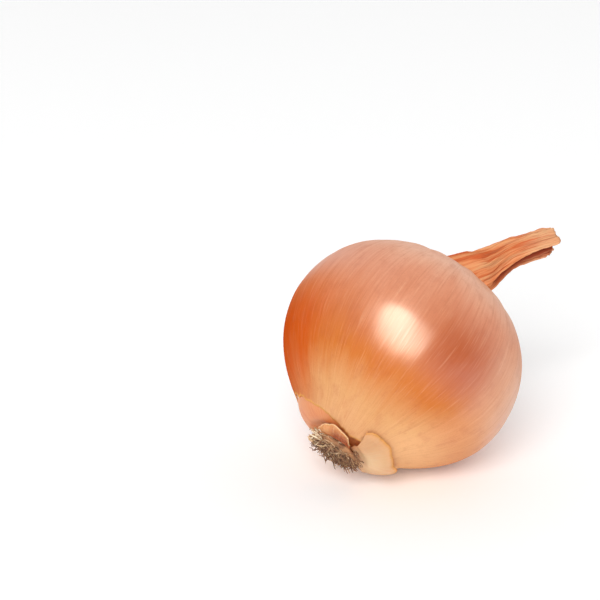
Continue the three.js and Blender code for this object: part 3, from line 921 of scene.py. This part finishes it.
# Torn skins: rows of (angle, distance from the axis, height above the bulb) along the free edge. The root
# is (first angle, last angle, distance from the axis, height above the bulb). The sheet is hollow between
# the two, its rim curls up, its edge is ragged, and waves and crumples dent it.
TORN_SKINS = {
    "skin_flap": {
        "edge": (
            (-125, 16.8, 0.15),
            (-119, 17.8, 0.25),
            (-108, 18, 0.35),
            (-97, 18.1, 0.5),
            (-86, 17.4, 0.7),
            (-73, 16.9, 1.0),
            (-60, 17.3, 1.3),
            (-46, 16, 0.8),
            (-27, 14.2, 0.6),
            (-10, 13, 0.6),
        ),
        "root": (-108, -14, 5.4, 0.9),
        "hollow": 2,
        "curl": 0.25,
        "ragged": 0.4,
        "seed": 21,
        "around": 96,
        "along": 40,
        "wave": 0.25,
        "crumple": 0.2,
        "slot": "pale_skin",
    },
    "skin_lip": {
        "edge": (
            (163, 10.2, 1.0),
            (181, 12, 1.1),
            (191, 13.1, 1.1),
            (203, 13.8, 1.0),
            (217, 13, 0.9),
            (227, 11.9, 0.9),
            (238, 9.6, 1.4),
        ),
        "root": (158, 242, 8.2, 2.4),
        "hollow": 1,
        "curl": 0.35,
        "ragged": 0.35,
        "seed": 8,
        "around": 72,
        "along": 26,
        "wave": 0.55,
        "crumple": 0.7,
        "slot": "torn_skin",
    },
    "skin_scrap": {
        "edge": (
            (0, 11, 0.3),
            (20, 14.4, 0.8),
            (42, 12.4, 0.6),
            (66, 14.8, 1),
            (88, 12, 0.5),
            (106, 9.4, 0.3),
        ),
        "root": (-4, 112, 5.4, 0.25),
        "hollow": 2,
        "curl": 0.3,
        "ragged": 0.9,
        "seed": 34,
        "around": 80,
        "along": 32,
        "wave": 0.25,
        "crumple": 0.2,
        "slot": "pale_skin",
    },
}


SHEET_THICKNESS = 0.24


def make_torn_skin(name, form, shape, material):
    """A thin torn sheet that comes out from under the root plate and lies over the bulb."""
    onion = Onion(shape)
    bm = bmesh.new()
    bmesh.ops.create_grid(bm, x_segments=form["around"], y_segments=form["along"], size=0.5)
    grain = bm.verts.layers.float_vector.new("grain")
    reach = bm.verts.layers.float.new("reach")
    root_from, root_to, root_radius, root_lift = form["root"]
    for vert in bm.verts:
        u, v = vert.co.x + 0.5, vert.co.y + 0.5
        degrees, radius, lift = row_value(form["edge"], u)
        tear = noise.noise(Vector((9 * u, form["seed"], 0)))
        tear += 0.5 * noise.noise(Vector((29 * u, form["seed"], 4)))
        radius += form["ragged"] * tear
        turn = math.radians(mixed(mixed(root_from, root_to, u), degrees, v))
        r = mixed(root_radius, radius, v)
        wave = noise.noise(Vector((5 * u, 2.5 * v, form["seed"] + 7)))
        wave = form["wave"] * (wave + form["crumple"] * noise.noise(Vector((15 * u, 7 * v, form["seed"]))))
        above = mixed(root_lift, lift, v ** form["hollow"]) + wave * v + form["curl"] * ramp(0.7, 1, v)
        placed = onion.over_base(turn, r, onion.clearance + SHEET_THICKNESS + above)
        vert[grain] = grain_at(onion, turn, onion.distance_to(r))
        vert[reach] = v
        vert.co = placed
    piece = finished(bm, name + "_sheet", onion, material, closed=False)
    thickened(piece, SHEET_THICKNESS * MM)
    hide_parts(name)
    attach(piece, "root")
    return piece


def make_plate(shape, roots, colours):
    """The corky plate that the roots grow from, with its stem between the torn skins."""
    onion = Onion(shape)
    stem, rim = roots.stem_radius / MM, roots.rim_radius / MM
    top, rim_top, bottom = roots.top / MM, roots.rim_top / MM, roots.bottom / MM
    corners = (
        (0, bottom + 0.5),
        (stem * 0.6, bottom + 0.1),
        (rim - 1.4, bottom + 0.2),
        (rim - 0.2, (rim_top + bottom) / 2 - 0.3),
        (rim, (rim_top + bottom) / 2 + 0.2),
        (rim - 0.5, rim_top),
        (stem + 0.7, rim_top + 0.3),
        (stem, rim_top + 0.9),
        (stem, top),
        (0, top),
    )
    line = Line([(r, z, 0) for r, z in corners])
    bm = spun_tube(44, 110)
    for vert in bm.verts:
        turn = math.atan2(vert.co.y, vert.co.x)
        share = vert.co.z
        point, _ = line.at(line.length * share)
        below = ramp(rim_top + 0.4, rim_top - 0.4, point.y)
        x, y = math.cos(turn), math.sin(turn)
        lumps = noise.noise(Vector((2.2 * x * point.x / 4, 2.2 * y * point.x / 4, point.y)))
        cork = noise.noise(Vector((0.9 * x * point.x, 0.9 * y * point.x, 0.9 * point.y)))
        r = point.x * (1 + below * (0.05 * lumps + 0.03 * cork)) if 0 < share < 1 else 0
        z = point.y + below * (0.25 * lumps + 0.2 * cork) * min(share * 8, 1)
        vert.co = (r * x, r * y, z)
    piece = finished(bm, "root_plate", onion, plate_finish(colours))
    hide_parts("roots")
    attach(piece, "root")
    return piece


# The lip of skin stands over this part of the plate's rim, where the outer roots are cropped short
LIP_MIDDLE = -142
LIP_REACH = 38
OUTER_ROOTS = 0.74  # share of the plate's radius where the outer roots start
CROPPED_SHORT = 0.4  # their length under the lip, as a share of the others'
# Beside the lip the roots are paler, thicker and reach higher up: (angle, width)
PALE_ROOTS = (150, 36)
HIGH_ROOTS = (140, 24)
ROOT_STEPS = 10
ROOT_LENGTHS = (2.2, 4.8)
SWIRL = 0.72  # how strongly each root curls one way
JITTER = 0.26  # and how much it wanders from that
EDGE_OF_MAT = 0.4  # a root turns back this far inside the mat's limits


def strand_shape(sides, rings):
    """One straight root of length 1 and radius 1 along z, as a mesh that each root is bent from."""
    bm = bmesh.new()
    circle = bmesh.ops.create_circle(bm, cap_ends=True, segments=sides, radius=1)
    edges = [e for v in circle["verts"] for e in v.link_edges]
    edges = list(set(edges))
    for _ in range(rings):
        extruded = bmesh.ops.extrude_edge_only(bm, edges=edges)["geom"]
        verts = [g for g in extruded if isinstance(g, bmesh.types.BMVert)]
        edges = [g for g in extruded if isinstance(g, bmesh.types.BMEdge)]
        bmesh.ops.translate(bm, vec=(0, 0, 1 / rings), verts=verts)
    bmesh.ops.contextual_create(bm, geom=edges)
    bmesh.ops.recalc_face_normals(bm, faces=bm.faces)
    mesh = bpy.data.meshes.new("strand")
    bm.to_mesh(mesh)
    bm.free()
    return mesh


def make_strands(shape, roots, colours):
    """The cropped roots: fine, curly, matted over the plate's face and round its rim."""
    onion = Onion(shape)
    draw = random.Random(roots.seed)
    sides, rings = 4, 6
    pattern = strand_shape(sides, rings)
    bm = bmesh.new()
    bm.verts.layers.float.new("tone")
    rim, bottom = roots.rim_radius / MM, roots.bottom / MM
    golden = math.pi * (3 - math.sqrt(5))
    for index in range(roots.strands):
        outward = math.sqrt((index + 0.5) / roots.strands)
        turn = index * golden
        under_lip = abs(turn_between(math.degrees(turn), LIP_MIDDLE)) < LIP_REACH
        from_pale = turn_between(math.degrees(turn), PALE_ROOTS[0]) / PALE_ROOTS[1]
        pale = bell(from_pale) * ramp(0.6, 0.95, outward)
        path = root_path(draw, turn, outward, rim, bottom, roots, under_lip)
        tone = min(draw.random() ** 1.3 * 0.8 + 0.5 * pale, 1)
        thick = roots.strand_radius / MM * mixed(0.5, 1.2, draw.random() ** 2) * (1 + 0.7 * pale)
        first = len(bm.verts)
        bm.from_mesh(pattern)
        bm.verts.ensure_lookup_table()
        tones = bm.verts.layers.float["tone"]
        for vert in bm.verts[first:]:
            share = vert.co.z
            centre, direction = path.at(path.length * share)
            square = Vector((0, 0, 1)).rotation_difference(direction)
            width = thick * mixed(1, 0.45, share)
            section = Vector((vert.co.x, vert.co.y, 0)) * width
            vert.co = square @ section + centre
            vert[tones] = tone
    bpy.data.meshes.remove(pattern)
    piece = laid_object(bm, "root_strands", onion, root_finish(colours))
    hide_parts("roots")
    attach(piece, "root")
    return piece


def root_path(draw, turn, outward, rim, bottom, roots, under_lip):
    """The line of one root: it leaves the plate and curls back and forth, inside the mat."""
    mat_radius = rim + 0.3 if under_lip else roots.mat_radius / MM
    beside_lip = bell(turn_between(math.degrees(turn), HIGH_ROOTS[0]) / HIGH_ROOTS[1])
    mat_top = bottom if under_lip else roots.mat_top / MM + 2 * beside_lip
    mat_bottom = roots.mat_bottom / MM
    start_r = outward * (rim - 0.4)
    at = Vector((start_r * math.cos(turn), start_r * math.sin(turn), bottom + 0.5))
    if outward > 0.9:
        at.z += 1.1 + 0.7 * beside_lip
    out = Vector((math.cos(turn), math.sin(turn), 0))
    heading = out * mixed(0.2, 1.0, outward ** 2) + Vector((0, 0, -1)) * mixed(1, 0.35, outward ** 2)
    heading.normalize()
    points = [at.copy()]
    step = mixed(*ROOT_LENGTHS, draw.random() ** 1.6) / ROOT_STEPS
    if under_lip and outward > OUTER_ROOTS:
        step *= CROPPED_SHORT
    swirl = Vector((draw.gauss(0, 1), draw.gauss(0, 1), draw.gauss(0, 0.6))) * SWIRL
    for _ in range(ROOT_STEPS):
        jitter = Vector((draw.gauss(0, 1), draw.gauss(0, 1), draw.gauss(0, 1))) * JITTER
        heading = (heading + swirl + jitter).normalized()
        ahead = at + heading * step
        if ahead.z < mat_bottom + EDGE_OF_MAT:
            heading.z = abs(heading.z) * 0.4
        if ahead.z > mat_top - EDGE_OF_MAT and ahead.xy.length > rim - 0.3:
            heading.z = -abs(heading.z)
        if ahead.xy.length > mat_radius - EDGE_OF_MAT:
            heading -= 1.2 * Vector((at.x, at.y, 0)).normalized() * max(heading.dot(out), 0.3)
        heading.normalize()
        at = at + heading * step
        points.append(at.copy())
    return Line(curved(points, 2))


# The inner leaf ends: (share of the neck's radius, reach past the torn end, twist)
LEAF_ENDS = ((0.74, -0.5, 0.9), (0.46, -1.4, 2.3))
LEAF_LENGTH = 17


def make_leaf_ends(shape, colours):
    """The ends of the inner leaves, which show inside the torn end of the neck."""
    onion = Onion(shape)
    material = skin_finish(colours)
    for index, (scale, reach, twist) in enumerate(LEAF_ENDS):
        bm = spun_tube(34, 84)
        grain = bm.verts.layers.float_vector.new("grain")
        fold_shades = bm.verts.layers.float.new("fold")
        for vert in bm.verts:
            turn = math.atan2(vert.co.y, vert.co.x)
            z = mixed(onion.tip - LEAF_LENGTH, onion.tip - 0.4, vert.co.z)
            growth, fold = onion.neck_folds(turn, z)
            x, y = math.cos(turn + twist), math.sin(turn + twist)
            ruffle = noise.noise(Vector((3 * x, 3 * y, 0.15 * z + index)))
            r = onion.neck_width(z) * scale * (growth + 0.25 * ruffle)
            edge = reach * ramp(onion.tip - 10, onion.tip, z)
            placed = onion.bend(Vector((r * math.cos(turn), r * math.sin(turn), z)), turn + twist)
            _, direction = onion.neck.at(onion.neck.length)
            vert[grain] = grain_at(onion, turn, onion.meridian.length + z - onion.tip)
            # painted fold shade, fainter on the leaf ends
            vert[fold_shades] = fold * 0.6
            vert.co = placed + direction * edge
        piece = finished(bm, f"leaf_end_{index + 1}", onion, material, closed=False)
        thickened(piece, 0.25 * MM)
        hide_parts("bulb")
        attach(piece, "root")


def make_stage(stage, shape):
    """A pale floor, soft light from all round and in front, and the camera."""
    onion = Onion(shape)
    middle = onion.middle

    bm = bmesh.new()
    bmesh.ops.create_grid(bm, x_segments=1, y_segments=1, size=6)
    mesh = bpy.data.meshes.new("floor")
    bm.to_mesh(mesh)
    bm.free()
    paint = Finish("floor_paint", roughness=0.9)
    paint.shader.inputs["Base Color"].default_value = (*stage.floor, 1)
    paint.shader.inputs["Specular IOR Level"].default_value = 0
    paint.shader.inputs["Emission Color"].default_value = (1, 1, 1, 1)
    paint.shader.inputs["Emission Strength"].default_value = stage.floor_glow
    mesh.materials.append(paint.material)
    floor = bpy.data.objects.new("floor", mesh)
    bpy.context.scene.collection.objects.link(floor)

    azimuth, elevation = stage.azimuth, stage.elevation
    back = Vector((
        math.sin(azimuth) * math.cos(elevation),
        -math.cos(azimuth) * math.cos(elevation),
        math.sin(elevation),
    ))
    right = Vector((math.cos(azimuth), math.sin(azimuth), 0))
    up = back.cross(right)

    towards = (right * LIGHT_FROM[0] + up * LIGHT_FROM[1] + back * LIGHT_FROM[2]).normalized()

    def light(name, power, width, height):
        data = bpy.data.lights.new(name, "AREA")
        data.shape = "ELLIPSE"
        data.size = width
        data.size_y = height
        data.energy = power
        lamp = bpy.data.objects.new(name, data)
        lamp.location = middle + towards * stage.key_distance
        lamp.rotation_mode = "QUATERNION"
        lamp.rotation_quaternion = towards.to_track_quat("Z", "Y")
        bpy.context.scene.collection.objects.link(lamp)
        return lamp

    # The broad light falls on the skin, and the tall one shows only as the highlight in its gloss
    key = light("key", stage.key, stage.key_size, stage.key_size)
    key.visible_glossy = False
    window = light("window", stage.window, stage.window_width, stage.window_height)
    window.data.color = stage.window_colour
    window.visible_diffuse = False

    world = bpy.data.worlds.new("studio")
    world.use_nodes = True
    sky = Shading(world.node_tree)
    direction = sky.node("ShaderNodeTexCoord", out="Generated")
    product = {"operation": "DOT_PRODUCT"}
    facing = sky.node("ShaderNodeVectorMath", product, {0: direction, 1: back}, out="Value")
    behind = facing.between(1, -1)
    strength = stage.sky_in_front + behind * (stage.sky_behind - stage.sky_in_front)
    world.node_tree.links.new(strength.socket, world.node_tree.nodes["Background"].inputs["Strength"])
    world.node_tree.nodes["Background"].inputs["Color"].default_value = (1, 1, 1, 1)
    bpy.context.scene.world = world

    camera = bpy.data.cameras.new("camera")
    camera.sensor_width = 36
    camera.lens = camera.sensor_width * stage.distance / stage.width
    viewer = bpy.data.objects.new("camera", camera)
    # The bulb's middle falls at this pixel of the 600 by 600 picture
    seen_at, picture = (400.1, 355.3), 600
    metres_per_pixel = stage.width / picture
    aside = Vector((
        (seen_at[0] - picture / 2) * metres_per_pixel,
        (picture / 2 - seen_at[1]) * metres_per_pixel,
        -stage.distance,
    ))
    straight = Matrix((right, up, back)).transposed().to_quaternion()
    viewer.rotation_mode = "QUATERNION"
    viewer.rotation_quaternion = straight @ aside.rotation_difference(Vector((0, 0, -1)))
    viewer.location = middle + back * stage.distance
    bpy.context.scene.collection.objects.link(viewer)
    bpy.context.scene.camera = viewer
    bpy.context.scene.view_settings.view_transform = "Standard"


# Operators


class ONION_OT_outer_skin(bpy.types.Operator):
    """Make the outer skin with the neck"""

    bl_idname = "onion.outer_skin"
    bl_label = "Outer Skin"

    def execute(self, context):
        make_outer_skin(context.scene.onion_shape, context.scene.onion_colours)
        return {"FINISHED"}


class ONION_OT_next_scale(bpy.types.Operator):
    """Make the scale below the outer skin"""

    bl_idname = "onion.next_scale"
    bl_label = "Next Scale"

    def execute(self, context):
        make_next_scale(context.scene.onion_shape, context.scene.onion_colours)
        return {"FINISHED"}


class ONION_OT_leaf_ends(bpy.types.Operator):
    """Make the leaf ends inside the torn neck"""

    bl_idname = "onion.leaf_ends"
    bl_label = "Leaf Ends"

    def execute(self, context):
        make_leaf_ends(context.scene.onion_shape, context.scene.onion_colours)
        return {"FINISHED"}


class ONION_OT_torn_skins(bpy.types.Operator):
    """Make the torn skins round the root"""

    bl_idname = "onion.torn_skins"
    bl_label = "Torn Skins"

    def execute(self, context):
        colours = context.scene.onion_colours
        pale = torn_finish(
            "onion_pale_skin",
            colours.pale,
            colours.pale_at_root,
            colours.pale_vein,
            (0.45, 1.0),
            colours.pale_vein,
            colours.ochre_and_shadow_line,
        )
        tan = torn_finish(
            "onion_tan_skin",
            colours.tan,
            colours.tan_shaded_at_root,
            colours.lip_hollow_shade,
            (-0.65, 0.0),
            colours.tan_vein,
            colours.straw,
        )
        for name, form in TORN_SKINS.items():
            make_torn_skin(name, form, context.scene.onion_shape, tan if name == "skin_lip" else pale)
        return {"FINISHED"}


class ONION_OT_roots(bpy.types.Operator):
    """Make the root plate and its roots"""

    bl_idname = "onion.roots"
    bl_label = "Roots"

    def execute(self, context):
        scene = context.scene
        make_plate(scene.onion_shape, scene.onion_roots, scene.onion_colours)
        make_strands(scene.onion_shape, scene.onion_roots, scene.onion_colours)
        return {"FINISHED"}


class ONION_OT_stage(bpy.types.Operator):
    """Make the floor, the lights and the camera"""

    bl_idname = "onion.stage"
    bl_label = "Stage"

    def execute(self, context):
        make_stage(context.scene.onion_stage, context.scene.onion_shape)
        return {"FINISHED"}


OPERATORS = (
    ONION_OT_outer_skin,
    ONION_OT_next_scale,
    ONION_OT_leaf_ends,
    ONION_OT_torn_skins,
    ONION_OT_roots,
    ONION_OT_stage,
)


class VIEW3D_PT_onion(bpy.types.Panel):
    """Lists the pieces of the onion"""

    bl_label = "Onion"
    bl_space_type = "VIEW_3D"
    bl_region_type = "UI"
    bl_category = "Onion"

    def draw(self, context):
        for operator in OPERATORS:
            self.layout.operator(operator.bl_idname)


GROUPS = {
    "onion_shape": OnionShape,
    "onion_roots": OnionRoots,
    "onion_colours": OnionColours,
    "onion_stage": OnionStage,
}


def register():
    for kind in (*GROUPS.values(), *OPERATORS, VIEW3D_PT_onion):
        bpy.utils.register_class(kind)
    for name, group in GROUPS.items():
        setattr(bpy.types.Scene, name, bpy.props.PointerProperty(type=group))


def unregister():
    for name in GROUPS:
        delattr(bpy.types.Scene, name)
    for kind in reversed((*GROUPS.values(), *OPERATORS, VIEW3D_PT_onion)):
        bpy.utils.unregister_class(kind)


def main():
    register()
    bpy.ops.onion.outer_skin()
    bpy.ops.onion.next_scale()
    bpy.ops.onion.leaf_ends()
    bpy.ops.onion.torn_skins()
    bpy.ops.onion.roots()
    bpy.ops.onion.stage()


if __name__ == "__main__":
    main()
